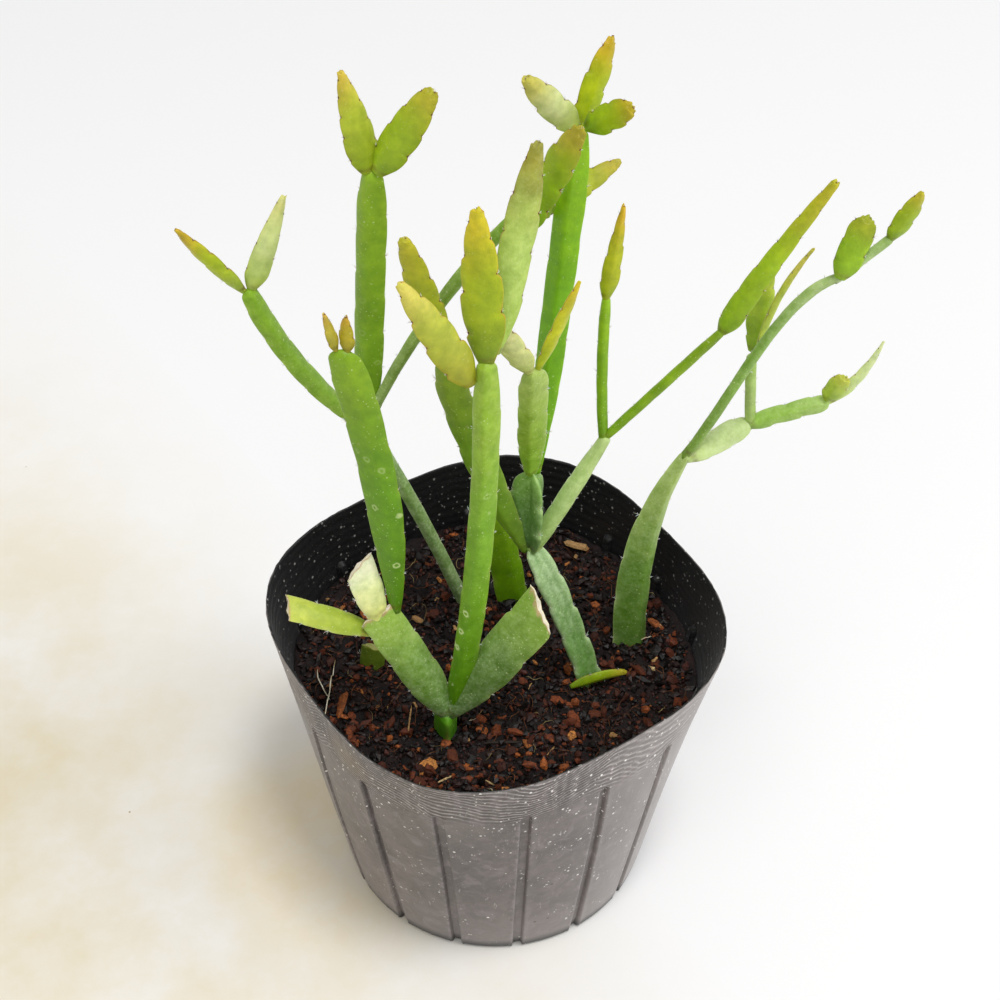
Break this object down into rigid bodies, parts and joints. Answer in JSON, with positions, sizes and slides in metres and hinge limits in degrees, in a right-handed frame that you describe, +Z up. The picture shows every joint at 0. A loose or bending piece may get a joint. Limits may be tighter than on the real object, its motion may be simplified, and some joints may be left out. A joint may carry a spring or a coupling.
{
  "type": "potted rhipsalis",
  "caption": "Potted rhipsalis: jointed, leafless green stems with scalloped yellow-green pads, rooted in coir soil in a thin, grooved black nursery pot.",
  "frame": {"origin": "middle of the pot's underside, on the surface it stands on", "axes": "+Z up, front of the plant towards -Y, +X to the viewer's right"},
  "size_m": [0.1285, 0.0934, 0.1929],
  "materials": {
    "black_polyethylene": "satin",
    "coir_and_peat": "rough, crumbly",
    "front_stem_skin": "satin plant skin",
    "centre_stem_skin": "satin plant skin",
    "left_stem_skin": "satin plant skin",
    "right_stem_skin": "satin plant skin",
    "back_flat_stem_skin": "satin plant skin",
    "cut_stub_skin": "satin plant skin",
    "front_bud_left_skin": "satin plant skin",
    "front_bud_right_skin": "satin plant skin",
    "front_pad_upright_skin": "satin plant skin",
    "front_pad_left_skin": "satin plant skin",
    "front_pad_tall_skin": "satin plant skin",
    "centre_pad_left_skin": "satin plant skin",
    "centre_pad_cream_skin": "satin plant skin",
    "centre_pad_thin_skin": "satin plant skin",
    "centre_pad_top_left_skin": "satin plant skin",
    "centre_pad_top_skin": "satin plant skin",
    "centre_pad_top_right_skin": "satin plant skin",
    "centre_pad_rod_skin": "satin plant skin",
    "centre_pad_long_skin": "satin plant skin",
    "base_shoot_skin": "satin plant skin",
    "left_pad_top_left_skin": "satin plant skin",
    "left_pad_top_right_skin": "satin plant skin",
    "left_pad_outer_skin": "satin plant skin",
    "left_pad_pale_skin": "satin plant skin",
    "inner_pad_front_skin": "satin plant skin",
    "inner_pad_back_skin": "satin plant skin",
    "right_pad_oval_skin": "satin plant skin",
    "right_pad_end_skin": "satin plant skin",
    "fork_pad_flat_skin": "satin plant skin",
    "fork_pad_thin_skin": "satin plant skin",
    "low_pad_oval_skin": "satin plant skin",
    "low_pad_pointed_skin": "satin plant skin"
  },
  "bodies": {
    "root": {"pot": "black_polyethylene", "soil": "coir_and_peat", "front_stem": "front_stem_skin", "centre_stem": "centre_stem_skin", "left_stem": "left_stem_skin", "right_stem": "right_stem_skin", "back_flat_stem": "back_flat_stem_skin", "cut_stub": "cut_stub_skin", "front_bud_left": "front_bud_left_skin", "front_bud_right": "front_bud_right_skin", "front_pad_upright": "front_pad_upright_skin", "front_pad_left": "front_pad_left_skin", "front_pad_tall": "front_pad_tall_skin", "centre_pad_left": "centre_pad_left_skin", "centre_pad_cream": "centre_pad_cream_skin", "centre_pad_thin": "centre_pad_thin_skin", "centre_pad_top_left": "centre_pad_top_left_skin", "centre_pad_top": "centre_pad_top_skin", "centre_pad_top_right": "centre_pad_top_right_skin", "centre_pad_rod": "centre_pad_rod_skin", "centre_pad_long": "centre_pad_long_skin", "base_shoot": "base_shoot_skin", "left_pad_top_left": "left_pad_top_left_skin", "left_pad_top_right": "left_pad_top_right_skin", "left_pad_outer": "left_pad_outer_skin", "left_pad_pale": "left_pad_pale_skin", "inner_pad_front": "inner_pad_front_skin", "inner_pad_back": "inner_pad_back_skin", "right_pad_oval": "right_pad_oval_skin", "right_pad_end": "right_pad_end_skin", "fork_pad_flat": "fork_pad_flat_skin", "fork_pad_thin": "fork_pad_thin_skin", "low_pad_oval": "low_pad_oval_skin", "low_pad_pointed": "low_pad_pointed_skin"}
  },
  "joints": []
}
